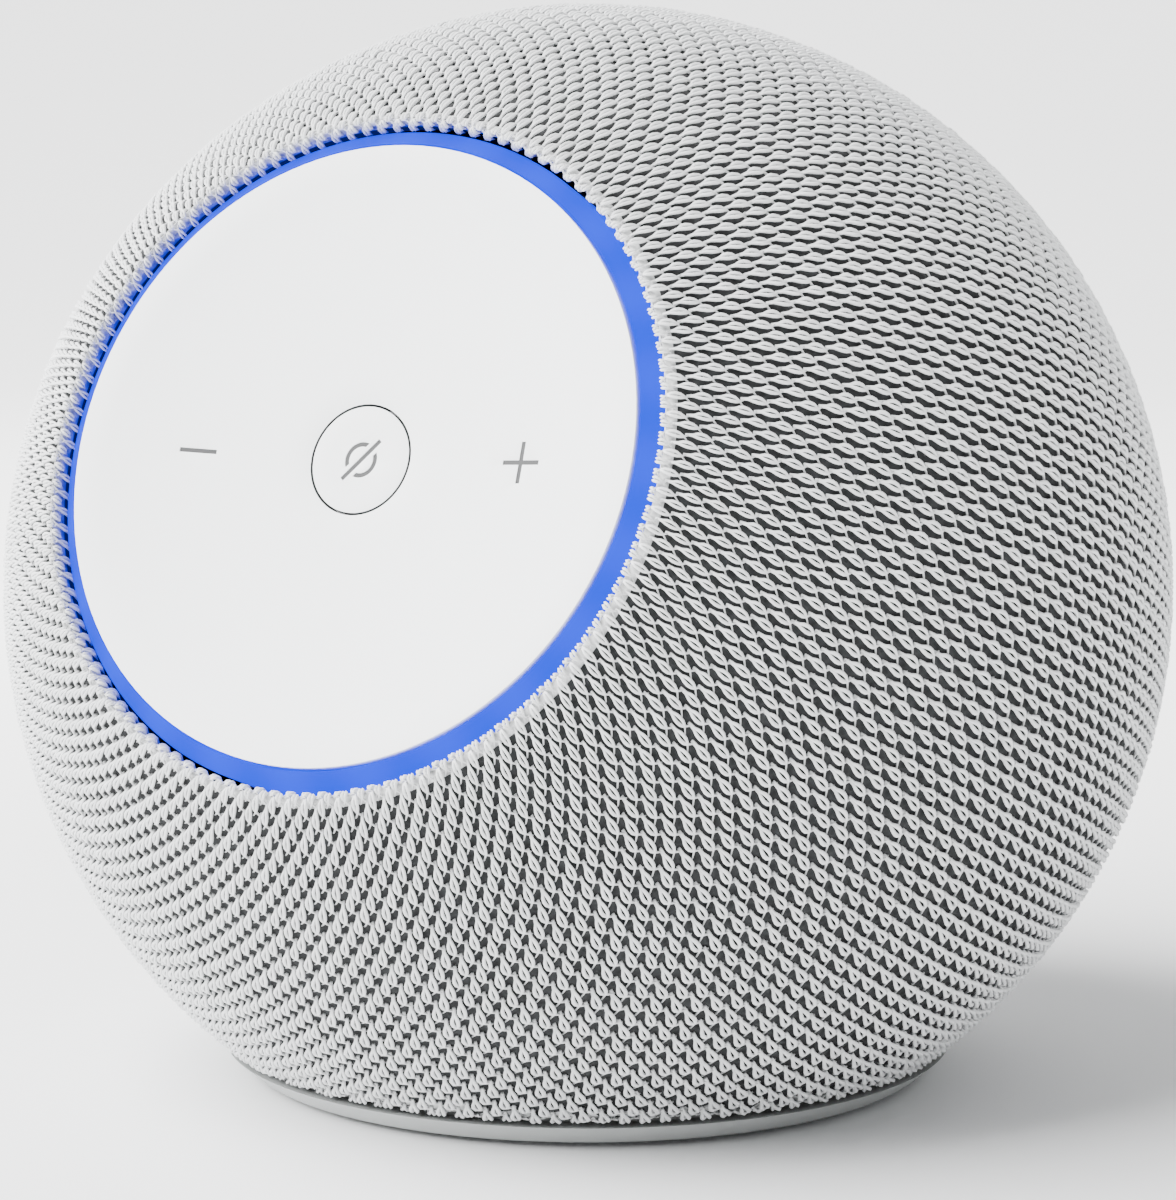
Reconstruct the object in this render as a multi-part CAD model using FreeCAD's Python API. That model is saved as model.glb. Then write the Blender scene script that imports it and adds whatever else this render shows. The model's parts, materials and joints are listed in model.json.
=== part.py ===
import FreeCAD, Part
import math
import os

os.makedirs("parts", exist_ok=True)

# Ball-shaped two-way smart speaker: a knitted cover over a moulded ball, cut flat at the
# floor, with a dished control plate on the front inside a ring of light.
# The row frame stands on the floor at the middle of the foot: +Z up, the face looks to -Y.
# Every piece is drawn about the ball's centre, most of them in the frame of the face, of
# the woofer or of the tweeter, whose +Z points out of the ball.

# ---- Driving dimensions, in millimetres and degrees --------------------------------

# Overall
ball_r = 54.35            # outside of the knitted cover
foot_r = 30.7             # circle in which the ball's outline would meet the floor
face_tilt = 20.0          # the control face looks this far above the horizon

# Cover and housing
cover_t = 1.2             # knitted cover
cover_gap = 0.1           # cover to housing
lip_t = 0.9               # cover where it turns in round the face
shell_wall = 2.2          # moulded housing
seal_t = 0.4              # foam between the two halves of the housing
fit_gap = 0.1             # between fixed pieces that drop into each other
screw_slack = 0.05        # screw to its hole, on the radius
small_screw_r = 0.9       # woofer's and main board's screws
face_screw_r = 1.0
case_screw_r = 1.3        # base and housing screws
screw_turn = 45           # every set of four screws stands at this angle to the middle

# Control face
face_r = 26.6             # rim of the control plate
plate_t = 1.5
dish_depth = 2.9          # the plate is hollowed by this much at its middle
rim_drop = 0.85           # rim of the plate below the ball's outline at the cover's lip
rim_gap = 0.25            # plate to light ring
ring_w = 1.5              # light ring, on the radius
ring_slope = 42.0         # its visible face falls outwards at this angle
mute_r = 4.6              # mute button's cap
mute_gap = 0.2            # cap to the plate's hole
mute_neck_r = 3.6
mute_cap_t = 1.05         # cap below the middle of the dish
mute_travel = 0.5
running = 0.08            # running fit of the neck in the plate's guide
key_u = 15.67             # volume marks and their switches, each side of the middle
mark_w = 3.5              # length of a mark's bars
mark_line = 0.38          # width of a mark's lines
mark_depth = 0.2
board_drop = 5.35         # control board's top below the middle of the dish
board_t = 1.0
frame_t = 1.5
pin_r = 1.0               # pivot pins of the plate
pin_fit = 0.05
led_count = 24
plunger_r = 1.5

# Woofer, measured back from the front of its basket
woofer_r = 31.5
woofer_ear_r = 3.0        # screw ears on the basket's flange
woofer_gap = 49.56        # face's axis to the near edge of the woofer's flange, as an angle
woofer_flange_t = 1.6
spider_depth = 14.9
basket_depth = 19.2
top_plate_t = 3.0
land_t = 1.0              # step in the basket that the surround lies on
gasket_t = 1.0
coil_r = 10.0             # outside of the voice coil
coil_t = 0.4
coil_gap = 0.35           # voice coil to the steel on each side
cone_r = 22.8
cone_depth = 8.6
neck_r = 20.2             # basket where it meets the magnet system
magnet_r = 22.0
magnet_t = 10.0

# Tweeter, measured back from the front of its faceplate
tweeter_r = 11.5
tweeter_land = 2.4        # housing left between tweeter and base, as an angle
dome_r = 7.5
dome_h = 2.6

# Grilles
grille_t = 1.5
grille_hole_r = 1.1
grille_pitch = 4.2

# Base
foot_t = 1.2
base_t = 1.6
base_ring_h = 2.4         # top of the base ring above the floor
base_ring_flare = 3.7     # base ring's top edge beyond the foot circle
hem_gap = 0.6             # shadow gap between the base ring and the cover's hem
post_h = 9.0              # base plate to main board
main_board_t = 1.2
shield_h = 2.2
socket_h = 4.0            # wire sockets on the main board

# Power inlet
plug_r = 5.75             # recess that takes the plug's moulding
plug_depth = 4.0
jack_bore_r = 2.85
jack_pin_r = 1.0
bezel_wall = 1.65

# ---- Sizes that follow --------------------------------------------------------------


def on_ball(ball, r):
    """Distance along an axis at which a ball's surface is r away from that axis."""
    return math.sqrt(ball ** 2 - r ** 2)


centre_z = on_ball(ball_r, foot_r)
shell_out = ball_r - cover_t - cover_gap
shell_in = shell_out - shell_wall

# Radii round the face, from the plate outwards
ring_in = face_r + rim_gap
ring_out = ring_in + ring_w
lip_in = ring_out + 0.15
lip_out = lip_in + lip_t
shell_open = lip_out + 2 * fit_gap

# Heights along the face's axis
rim_h = on_ball(ball_r, lip_in) - rim_drop
dish_h = rim_h - dish_depth
dish_r = (face_r ** 2 + dish_depth ** 2) / (2 * dish_depth)
board_top = dish_h - board_drop
floor_top = board_top - board_t - fit_gap
floor_bottom = floor_top - frame_t
guide_top = rim_h - 4.4
guide_bottom = guide_top - 1.1
guide_in = face_r - 2.2
pivot_h = dish_h - 2.1
pivot_v = face_r - 6.6
mute_room = mute_travel + 0.05
mute_seat = dish_h - mute_cap_t - mute_room
mute_guide = mute_seat - 1.05
boss_r = 2.4
boss_at = shell_open + boss_r + 0.2

# Woofer
woofer_ear_at = woofer_r + 0.1
woofer_front = on_ball(shell_in, woofer_ear_at + woofer_ear_r) - 0.3
woofer_open = woofer_r - 2.2
woofer_edge = math.degrees(math.atan(woofer_r / woofer_front))
woofer_lean = woofer_edge + woofer_gap - (90 - face_tilt)
pole_r = coil_r - coil_t - coil_gap
gap_r = coil_r + coil_gap

# Tweeter
base_edge = math.degrees(math.acos((centre_z - foot_t - base_t) / shell_out))
tweeter_front = on_ball(shell_in, tweeter_r) - 3.5
tweeter_half = math.degrees(math.asin(tweeter_r / shell_in))
tweeter_dip = 90 - base_edge - tweeter_half - tweeter_land
tweeter_open = tweeter_r - 1.9

# Base, heights from the ball's centre
floor_z = -centre_z
housing_bottom = floor_z + foot_t + base_t
plate_r = foot_r + 0.1
base_boss_at = plate_r - 3.3
main_bottom = housing_bottom + post_h
main_top = main_bottom + main_board_t
post_x = 0.65 * plate_r
post_front = -0.26 * plate_r
post_back = 0.33 * plate_r
socket_x = 16.0
socket_y = (post_front + post_back) / 2
ribbon_y = -0.22 * plate_r
shield_front = ribbon_y + 1.28
shield_back = shield_front + 18

# Power inlet
jack_z = main_top + 4.2
recess_floor = on_ball(ball_r, plug_r - jack_z) - plug_depth
jack_face = recess_floor - 1.0
bezel_r = plug_r + bezel_wall

# Housing screws
post_r = 3.4
post_at = shell_in - 2.6
screw_seat = -9.0

# ---- Frames, and simple solids in them ----------------------------------------------

X = FreeCAD.Vector(1, 0, 0)
Z = FreeCAD.Vector(0, 0, 1)


def turned_frame(angle, z=0):
    """Frame tipped about X by an angle, with its origin z above the ball's centre."""
    return FreeCAD.Placement(FreeCAD.Vector(0, 0, z), FreeCAD.Rotation(X, angle))


BALL = turned_frame(0)
FACE = turned_frame(90 - face_tilt)
WOOFER = turned_frame(-woofer_lean)
TWEETER = turned_frame(90 + tweeter_dip)
JACK = turned_frame(-90, jack_z)
STAND = FreeCAD.Placement(FreeCAD.Vector(0, 0, centre_z), FreeCAD.Rotation())


def placed(shape, frame):
    """Copy of a shape, carried into a frame."""
    copy = shape.copy()
    copy.Placement = frame.multiply(copy.Placement)
    return copy


def rod(r, z0, z1, x=0, y=0):
    """Round bar along Z."""
    return Part.makeCylinder(r, z1 - z0, FreeCAD.Vector(x, y, z0), Z)


def tube(r_in, r_out, z0, z1):
    """Round tube along Z."""
    return rod(r_out, z0, z1).cut(rod(r_in, z0 - 1, z1 + 1))


def block(x0, x1, y0, y1, z0, z1):
    """Box between two corners."""
    corner = FreeCAD.Vector(x0, y0, z0)
    return Part.makeBox(x1 - x0, y1 - y0, z1 - z0, corner)


def ball(r, z=0):
    """Ball on the Z axis."""
    return Part.makeSphere(r, FreeCAD.Vector(0, 0, z))


def turned(*points):
    """Solid turned about Z from an outline of (radius, height) points."""
    corners = [FreeCAD.Vector(r, 0, z) for r, z in points]
    outline = Part.makePolygon(corners + corners[:1])
    return Part.Face(outline).revolve(FreeCAD.Vector(), Z, 360)


def around(shape, count, first=0):
    """Copies of a shape spaced evenly round Z."""
    step = 360 / count
    return [placed(shape, FreeCAD.Placement(FreeCAD.Vector(), FreeCAD.Rotation(Z, first + step * i)))
            for i in range(count)]


def joined(shapes):
    """One solid from shapes that overlap or touch."""
    return shapes[0].multiFuse(shapes[1:]).removeSplitter()


def screw(r, head_r, head_h, length):
    """Pan-head screw: its head stands on z = 0 and its shank runs up from there."""
    slot = block(-head_r * 0.7, head_r * 0.7, -0.2, 0.2, -head_h - 1, -head_h * 0.55)
    return joined([rod(head_r, -head_h, 0), rod(r, -0.1, length)]).cut(slot)


def lead(points, r):
    """Round wire along straight runs joined by tangent arcs."""
    points = [FreeCAD.Vector(*p) for p in points]
    edges = []
    last = points[0]
    for before, corner, after in zip(points, points[1:], points[2:]):
        way_in = corner.sub(before)
        way_out = after.sub(corner)
        back = 0.45 * min(way_in.Length, way_out.Length)
        turn = way_in.getAngle(way_out)
        way_in.normalize()
        way_out.normalize()
        arc_start = corner - way_in * back
        arc_end = corner + way_out * back
        inward = (way_out - way_in).normalize()
        arc_middle = corner + inward * (back * math.tan(turn / 4))
        edges.append(Part.LineSegment(last, arc_start).toShape())
        edges.append(Part.Arc(arc_start, arc_middle, arc_end).toShape())
        last = arc_end
    edges.append(Part.LineSegment(last, points[-1]).toShape())
    section = Part.Wire(Part.makeCircle(r, points[0], points[1].sub(points[0])))
    return Part.Wire(edges).makePipeShell([section], True, False)


def save(name, shape, frame=BALL):
    """Write one piece in the row frame."""
    placed(shape, STAND.multiply(frame)).exportStep("parts/" + name + ".step")


# ---- Cover and housing --------------------------------------------------------------


def fabric_cover():
    """Knitted sock: a hollow ball that turns in round the face and ends above the base."""
    sock = ball(ball_r).cut(ball(ball_r - cover_t))
    sock = sock.cut(placed(rod(lip_out, 0, 2 * ball_r), FACE))
    sock = sock.fuse(placed(cover_lip(), FACE))
    below = floor_z + base_ring_h + hem_gap
    sock = sock.cut(block(-ball_r, ball_r, -ball_r, ball_r, -2 * ball_r, below))
    return sock.cut(placed(rod(bezel_r + 3 * fit_gap, 0, 2 * ball_r), JACK))


def cover_lip():
    """The cover's edge, rolled over the housing and tucked in beside the light ring."""
    outer = on_ball(ball_r, lip_out)
    inner = guide_top + 0.9
    start = FreeCAD.Vector(lip_out, 0, outer)
    crest = FreeCAD.Vector(lip_in + 0.25 * lip_t, 0, outer + 0.12)
    end = FreeCAD.Vector(lip_in, 0, outer - 0.35)
    inner_end = FreeCAD.Vector(lip_in, 0, inner)
    outer_end = FreeCAD.Vector(lip_out, 0, inner)
    roll = Part.Arc(start, crest, end).toShape()
    walls = Part.makePolygon([end, inner_end, outer_end, start])
    return Part.Face(Part.Wire([roll] + walls.Edges)).revolve(FreeCAD.Vector(), Z, 360)


def housing_bosses():
    """Seats and screw posts inside the housing, trimmed to the middle of its wall."""
    far = 2 * ball_r
    seat_r = woofer_ear_at + woofer_ear_r
    solids = [
        placed(tube(woofer_open, seat_r, woofer_front + gasket_t, far), WOOFER),
        placed(tube(tweeter_open, tweeter_r + 0.8, tweeter_front + 0.6, far), TWEETER),
        placed(rod(bezel_r + 1.8, jack_face, far), JACK),
    ]
    face_boss = rod(boss_r, floor_top + fit_gap, far, boss_at)
    solids += [placed(boss, FACE) for boss in around(face_boss, 4, screw_turn)]
    solids += around(rod(post_r, -shell_out, 12, post_at), 4, screw_turn)
    solids += around(rod(3.0, housing_bottom, housing_bottom + 8, base_boss_at), 4, screw_turn)
    root = ball(shell_in + shell_wall / 2)
    return [solid.common(root) for solid in solids]


def housing_openings():
    """Everything that is cut out of the closed housing."""
    far = 2 * ball_r
    ledge = ball(shell_out - grille_t - fit_gap)
    cuts = [
        placed(rod(shell_open, floor_top, far), FACE),
        placed(rod(woofer_open, woofer_front + gasket_t - 1, far), WOOFER),
        placed(rod(woofer_open + 1.2, 1, far), WOOFER).cut(ledge),
        placed(rod(tweeter_open, tweeter_front, far), TWEETER),
        placed(rod(tweeter_open + 1.0, 1, far), TWEETER).cut(ledge),
        placed(rod(bezel_r + fit_gap, jack_face - 1, far), JACK),
        block(-far, far, -far, far, -far, housing_bottom),
    ]
    pilot = rod(small_screw_r + screw_slack, woofer_front, woofer_front + 3.2, woofer_ear_at)
    cuts += [placed(hole, WOOFER) for hole in around(pilot, 4, screw_turn)]
    pilot = rod(face_screw_r + screw_slack, floor_top, floor_top + 4.5, boss_at)
    cuts += [placed(hole, FACE) for hole in around(pilot, 4, screw_turn)]
    cuts += around(rod(case_screw_r + screw_slack, screw_seat - 1, 10, post_at), 4, screw_turn)
    cuts += around(rod(2.8, -far, screw_seat, post_at), 4, screw_turn)
    cuts += around(rod(case_screw_r + screw_slack, housing_bottom - 1, housing_bottom + 7, base_boss_at), 4, screw_turn)
    return cuts


def housing():
    """Both halves of the moulded ball in one, before it is split."""
    shell = ball(shell_out).cut(ball(shell_in))
    return shell.multiFuse(housing_bosses()).cut(housing_openings())


def upper_housing(whole):
    far = 2 * ball_r
    return whole.common(block(-far, far, -far, far, seal_t, far))


def lower_housing(whole):
    far = 2 * ball_r
    return whole.common(block(-far, far, -far, far, -far, 0))


def housing_seal():
    """Foam strip between the halves, interrupted by the face."""
    strip = tube(shell_in + 0.4, shell_out - 0.4, 0, seal_t)
    strip = strip.cut(placed(rod(shell_open + 0.3, 0, 2 * ball_r), FACE))
    return strip.cut(around(rod(case_screw_r + 4 * screw_slack, -1, 1, post_at), 4, screw_turn))


def grille(r, hole_limit):
    """Perforated cap, flush with the outside of the housing."""
    cap = ball(shell_out).cut(ball(shell_out - grille_t)).common(rod(r, 0, 2 * ball_r))
    rows = int(hole_limit / (grille_pitch * 0.866)) + 1
    holes = []
    for row in range(-rows, rows + 1):
        y = row * grille_pitch * 0.866
        for column in range(-rows - 1, rows + 2):
            x = (column + 0.5 * (row % 2)) * grille_pitch
            if math.hypot(x, y) < hole_limit:
                holes.append(rod(grille_hole_r, 0, 2 * ball_r, x, y))
    return cap.cut(holes)


# ---- Base ---------------------------------------------------------------------------


def base_ring():
    """Light grey ring that narrows down to the floor, hung on the base plate's flange."""
    low = floor_z + foot_t / 2
    top = floor_z + base_ring_h
    shelf = floor_z + foot_t + 0.8
    return turned(
        (plate_r + 0.7, low),
        (foot_r + 1.6, low),
        (foot_r + base_ring_flare, top),
        (foot_r + 1.6, top),
        (foot_r + 1.3, housing_bottom),
        (plate_r + fit_gap, housing_bottom),
        (plate_r + fit_gap, shelf),
        (plate_r + 0.7, shelf),
    )


def base_plate():
    """Floor of the housing, with posts for the main board and seats for its screws."""
    low = floor_z + foot_t
    plate = joined([
        rod(plate_r, low, housing_bottom),
        rod(plate_r + 0.6, low, low + 0.7),
    ] + [rod(2.6, low, main_bottom, x, y) for x, y in board_posts()])
    holes = around(rod(1.5, low - 1, housing_bottom + 1, base_boss_at), 4, screw_turn)
    holes += around(rod(2.5, low - 1, low + 0.8, base_boss_at), 4, screw_turn)
    holes += [rod(small_screw_r + screw_slack, main_bottom - 6, main_bottom + 1, x, y) for x, y in board_posts()]
    return plate.cut(holes)


def board_posts():
    """Places of the four posts under the main board."""
    return [(side * post_x, y) for side in (-1, 1) for y in (post_front, post_back)]


def foot_pad():
    """Rubber disc that the speaker stands on, with a shallow groove."""
    groove = tube(foot_r - 3.6, foot_r - 3.0, floor_z - 1, floor_z + 0.4)
    return rod(foot_r - 0.8, floor_z, floor_z + foot_t).cut(groove)


def base_screws():
    """Four screws from the base plate into the housing, under the foot pad."""
    one = placed(screw(case_screw_r, 2.3, 0.7, 6.5), turned_frame(0, floor_z + foot_t + 0.8))
    one.translate(FreeCAD.Vector(base_boss_at, 0, 0))
    return Part.makeCompound(around(one, 4, screw_turn))


def housing_screws():
    """Four long screws that draw the halves together."""
    one = placed(screw(case_screw_r, 2.5, 1.6, 18), turned_frame(0, screw_seat))
    one.translate(FreeCAD.Vector(post_at, 0, 0))
    return Part.makeCompound(around(one, 4, screw_turn))


# ---- Control face -------------------------------------------------------------------


def plate_skin(extra):
    """Ball that bounds the dish at a depth below the plate's surface."""
    return ball(dish_r + extra, dish_h + dish_r)


def minus_mark():
    bar = block(-mark_w / 2, mark_w / 2, -mark_line / 2, mark_line / 2, board_top, ball_r)
    bar.translate(FreeCAD.Vector(-key_u, 0, 0))
    return bar


def plus_mark():
    half = mark_w / 2
    across = block(-half, half, -mark_line / 2, mark_line / 2, board_top, ball_r)
    upright = block(-mark_line / 2, mark_line / 2, -half, half, board_top, ball_r)
    cross = across.fuse(upright)
    cross.translate(FreeCAD.Vector(key_u, 0, 0))
    return cross


def face_plate():
    """Dished plate that rocks about an upright axis to press the volume switches."""
    dish = rod(face_r, board_top, ball_r).common(plate_skin(plate_t)).cut(plate_skin(0))
    under = [rod(mute_r + 1.0, mute_guide, ball_r)]
    for side in (-1, 1):
        near = side * pivot_v
        under.append(block(-1.8, 1.8, near - 1.4, near + 1.4, pivot_h - 1.7, ball_r))
        under.append(rod(plunger_r, board_top + 4.2, ball_r, side * key_u))
    plate = joined([dish] + [piece.cut(plate_skin(plate_t / 2)) for piece in under])
    plate = plate.cut(rod(mute_r + mute_gap, mute_seat, ball_r))
    plate = plate.cut(rod(mute_neck_r + running, board_top, ball_r))
    pin_hole = placed(rod(pin_r + pin_fit, -ball_r, ball_r), turned_frame(90, pivot_h))
    marks = [mark.common(plate_skin(mark_depth)) for mark in (minus_mark(), plus_mark())]
    return plate.cut([pin_hole] + marks)


def mute_button():
    """Round button in the middle of the plate, with a crossed-out ring on it."""
    cap = rod(mute_r, dish_h - mute_cap_t, ball_r).cut(plate_skin(0))
    neck = rod(mute_neck_r, mute_guide - 0.5, dish_h - 1)
    snap = rod(mute_neck_r + 0.5, mute_guide - 0.45, mute_guide - 0.1)
    mark = mute_mark().common(plate_skin(mark_depth))
    return joined([cap, neck, snap]).cut(mark)


def mute_mark():
    """Ring broken by a slash, the usual sign for a switched-off microphone."""
    ring = tube(1.15, 1.15 + mark_line, board_top, ball_r)
    turn = FreeCAD.Placement(FreeCAD.Vector(), FreeCAD.Rotation(Z, 48))
    gap = placed(block(-3, 3, -0.55, 0.55, board_top, ball_r), turn)
    slash = placed(block(-2.3, 2.3, -mark_line / 2, mark_line / 2, board_top, ball_r), turn)
    return ring.cut(gap).fuse(slash)


def pivot_pins():
    """Two steel pins, fixed in the frame, that the plate rocks on."""
    upper = placed(rod(pin_r, -pivot_v - 3.6, -pivot_v + 1.2), turned_frame(90, pivot_h))
    lower = placed(rod(pin_r, pivot_v - 1.2, pivot_v + 3.6), turned_frame(90, pivot_h))
    return Part.makeCompound([upper, lower])


def light_ring():
    """Light guide: a foot over the lamps and a sloping band that shows round the plate."""
    fall = ring_w * math.tan(math.radians(ring_slope))
    top = rim_h - 0.2
    return turned(
        (ring_in, top),
        (ring_out, top - fall),
        (ring_out, guide_bottom),
        (guide_in, guide_bottom),
        (guide_in, guide_top),
        (ring_in, guide_top),
    )


def light_reflector():
    """White washer under the light guide, with a window over each lamp."""
    washer = tube(guide_in - 0.2, face_r + 0.5, guide_bottom - 1.0, guide_bottom - fit_gap)
    return washer.cut(around(rod(1.35, board_top, guide_top, face_r - 1.0), led_count))


def face_frame():
    """Moulded disc behind the face: it carries board, light ring and the plate's pivots."""
    solids = [rod(ring_out + 0.1, floor_bottom, floor_top)]
    solids += around(rod(boss_r, floor_bottom, floor_top, boss_at), 4, screw_turn)
    solids += around(block(ring_out - 3, boss_at, -boss_r, boss_r, floor_bottom, floor_top), 4, screw_turn)
    solids.append(tube(ring_out - 0.9, ring_out + 0.1, floor_top - 0.1, guide_bottom - fit_gap))
    for side in (-1, 1):
        near = side * (pivot_v + 2.8)
        solids.append(block(-1.8, 1.8, near - 1.0, near + 1.0, floor_top - 0.1, pivot_h + 1.7))
    frame = joined(solids)
    pin_hole = placed(rod(pin_r + screw_slack / 2, -ball_r, ball_r), turned_frame(90, pivot_h))
    holes = around(rod(1.15, floor_bottom - 1, floor_top + 1, boss_at), 4, screw_turn)
    cable_slot = block(-5.3, 5.3, -9, -2.7, floor_bottom - 1, floor_top + 1)
    return frame.cut([pin_hole, cable_slot] + holes)


def face_screws():
    """Four screws that hold the face frame to the housing, from behind."""
    one = placed(screw(face_screw_r, 2.0, 1.1, 5.5), turned_frame(0, floor_bottom))
    one.translate(FreeCAD.Vector(boss_at, 0, 0))
    return Part.makeCompound(around(one, 4, screw_turn))


def control_board():
    """Round circuit board with slots for the pivot posts and the ribbon."""
    board = rod(ring_out - 1.1, board_top - board_t, board_top)
    near = pivot_v + 2.8
    slots = [block(-2.1, 2.1, side * near - 1.3, side * near + 1.3, 0, ball_r) for side in (-1, 1)]
    slots.append(block(-5, 5, -9, -6.5, 0, ball_r))
    return board.cut(slots)


def leds():
    """Lamps under the foot of the light guide."""
    one = block(-1.0, 1.0, -0.8, 0.8, board_top, board_top + 0.8)
    one.translate(FreeCAD.Vector(face_r - 1.0, 0, 0))
    return Part.makeCompound(around(one, led_count))


def microphones():
    """Three microphones behind the rim of the plate."""
    one = block(-1.5, 1.5, -1.9, 1.9, board_top, board_top + 1.0)
    one.translate(FreeCAD.Vector(face_r - 6.0, 0, 0))
    return Part.makeCompound(around(one, 3))


def switch_body(x, height):
    """Square push switch with a well for its plunger."""
    body = block(x - 3, x + 3, -3, 3, board_top, board_top + height)
    return body.cut(rod(plunger_r + 0.15, board_top + height - 1.0, ball_r, x))


def key_plunger(x):
    """Plunger that a nub under the plate bears on."""
    return rod(plunger_r, board_top + 1.8, board_top + 4.1, x)


def mute_plunger():
    """Plunger under the mute button's neck."""
    return rod(plunger_r, board_top + 0.5 + mute_room, mute_guide - 0.55)


def ribbon_cable():
    """Flat cable from the control board to the main board, past the tweeter."""
    start = FACE.multVec(FreeCAD.Vector(0, -7.9, board_top - board_t - 0.6))
    end_y = ribbon_y
    end_z = main_top + 2.2
    route = [
        (start.y, start.z),
        (start.y + 4.5, start.z - 4.0),
        (end_y - 2.5, end_z + 7.0),
        (end_y, end_z),
    ]
    back = [(y + 0.22, z + 0.2) for y, z in reversed(route)]
    corners = [FreeCAD.Vector(-4, y, z) for y, z in route + back]
    outline = Part.Face(Part.makePolygon(corners + corners[:1]))
    return outline.extrude(FreeCAD.Vector(8, 0, 0))


# ---- Woofer -------------------------------------------------------------------------


def back(depth):
    """Height in the woofer's frame, measured back from the front of its basket."""
    return woofer_front - depth


def woofer_basket():
    """Stamped basket with six windows and four screw ears."""
    spider_seat = back(spider_depth)
    bottom = back(basket_depth)
    body = turned(
        (woofer_r - 2.3, back(0)),
        (woofer_r, back(0)),
        (woofer_r, back(woofer_flange_t)),
        (woofer_r - 2.9, back(3.2)),
        (neck_r, spider_seat),
        (neck_r, bottom),
        (coil_r + 3.5, bottom),
        (coil_r + 3.5, bottom + 1.2),
        (coil_r + 7.0, bottom + 1.2),
        (coil_r + 7.0, spider_seat),
        (coil_r + 8.8, spider_seat),
        (woofer_r - 4.5, back(3.2)),
        (woofer_r - 4.5, back(land_t)),
        (woofer_r - 2.3, back(land_t)),
    )
    window = block(0, woofer_r + 5, -6.5, 6.5, back(13.4), back(4.6))
    ears = around(rod(woofer_ear_r, back(woofer_flange_t), back(0), woofer_ear_at), 4, screw_turn)
    inside = rod(woofer_r - 1.0, back(3), back(-1))
    ears = [ear.cut(inside) for ear in ears]
    holes = around(rod(1.1, back(3), back(-1), woofer_ear_at), 4, screw_turn)
    holes += around(rod(2.2, back(3.5), back(woofer_flange_t), woofer_ear_at), 4, screw_turn)
    return joined([body.cut(around(window, 6, 15))] + ears).cut(holes)


def woofer_surround():
    """Rubber half roll between the cone and the basket, with its two flat lands."""
    roll_in = cone_r + 0.1
    roll_out = woofer_r - 4.3
    middle = (roll_in + roll_out) / 2
    reach = (roll_out - roll_in) / 2
    torus = Part.makeTorus(middle, reach, FreeCAD.Vector(0, 0, back(land_t)))
    hollow = Part.makeTorus(middle, reach - 0.5, FreeCAD.Vector(0, 0, back(land_t)))
    upper = rod(woofer_r, back(land_t), back(-5))
    lands = [
        tube(cone_r - 1.6, roll_in + 0.2, back(land_t), back(land_t / 2)),
        tube(roll_out - 0.2, woofer_r - 2.4, back(land_t), back(land_t / 2)),
    ]
    return joined([torus.cut(hollow).common(upper)] + lands)


def cone_slope():
    """Rise of the cone for each millimetre of radius."""
    return (cone_depth - 0.2) / (cone_r - 1.9 - coil_r)


def woofer_cone():
    """Pressed paper cone with a flat rim for the surround."""
    return turned(
        (cone_r, back(land_t)),
        (cone_r, back(woofer_flange_t)),
        (cone_r - 1.6, back(woofer_flange_t)),
        (coil_r, back(woofer_flange_t + cone_depth)),
        (coil_r, back(land_t + cone_depth - 0.2)),
        (cone_r - 1.9, back(land_t)),
    )


def woofer_dust_cap():
    """Domed cap over the voice coil."""
    rim = coil_r + 1.4
    rim_z = back(land_t + cone_depth - 0.2 - 1.4 * cone_slope())
    rise = 3.0
    dome = (rim ** 2 + rise ** 2) / (2 * rise)
    cap = ball(dome, rim_z + rise - dome).cut(ball(dome - 0.4, rim_z + rise - dome))
    return cap.common(rod(rim + 1, rim_z, rim_z + rise + 1))


def woofer_voice_coil():
    return tube(coil_r - coil_t, coil_r, back(24), back(land_t + cone_depth - 0.4))


def woofer_spider():
    """Corrugated cloth disc that centres the voice coil."""
    seat = spider_depth
    outer = coil_r + 8.7
    step = (outer - coil_r - 1.6) / 6
    top = [(coil_r, back(seat - 0.3))]
    low = [(coil_r, back(seat))]
    for i in range(1, 6):
        lift = 0.9 if i % 2 else 0.0
        top.append((coil_r + step * i, back(seat - 0.3 - lift)))
        low.append((coil_r + step * i, back(seat - lift)))
    top += [(coil_r + step * 6, back(seat - 0.3)), (outer, back(seat - 0.3))]
    low += [(coil_r + step * 6, back(seat)), (outer, back(seat))]
    return turned(*(top + low[::-1]))


def woofer_top_plate():
    return tube(gap_r, magnet_r - 1.5, back(basket_depth + top_plate_t), back(basket_depth))


def woofer_magnet():
    front = basket_depth + top_plate_t
    return tube(gap_r + 2.4, magnet_r, back(front + magnet_t), back(front))


def woofer_yoke():
    """Steel back plate and pole piece in one turning."""
    low = basket_depth + top_plate_t + magnet_t
    plate = rod(magnet_r - 1.5, back(low + 3), back(low))
    return joined([plate, rod(pole_r, back(low + 0.1), back(basket_depth))])


def woofer_gasket():
    """Foam ring between the basket and its seat."""
    ring = tube(woofer_r - 2.0, woofer_r, back(0), back(-gasket_t))
    return ring.cut(around(rod(1.3, back(1), back(-gasket_t - 1), woofer_ear_at), 4, screw_turn))


def woofer_screws():
    one = placed(screw(small_screw_r, 1.9, 1.1, 4.6), turned_frame(0, back(woofer_flange_t)))
    one.translate(FreeCAD.Vector(woofer_ear_at, 0, 0))
    return Part.makeCompound(around(one, 4, screw_turn))


def woofer_terminals():
    """Two solder tags on an insulating block at the back of the basket."""
    pad = block(-4, 4, neck_r, neck_r + 1.2, back(18.6), back(15.6))
    tag = block(-0.8, 0.8, neck_r + 1.1, neck_r + 3.2, back(17.6), back(17.2))
    tags = [tag.translated(FreeCAD.Vector(x, 0, 0)) for x in (-2.2, 2.2)]
    return joined([pad] + tags)


# ---- Tweeter ------------------------------------------------------------------------


def behind(depth):
    """Height in the tweeter's frame, measured back from the front of its faceplate."""
    return tweeter_front - depth


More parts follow.
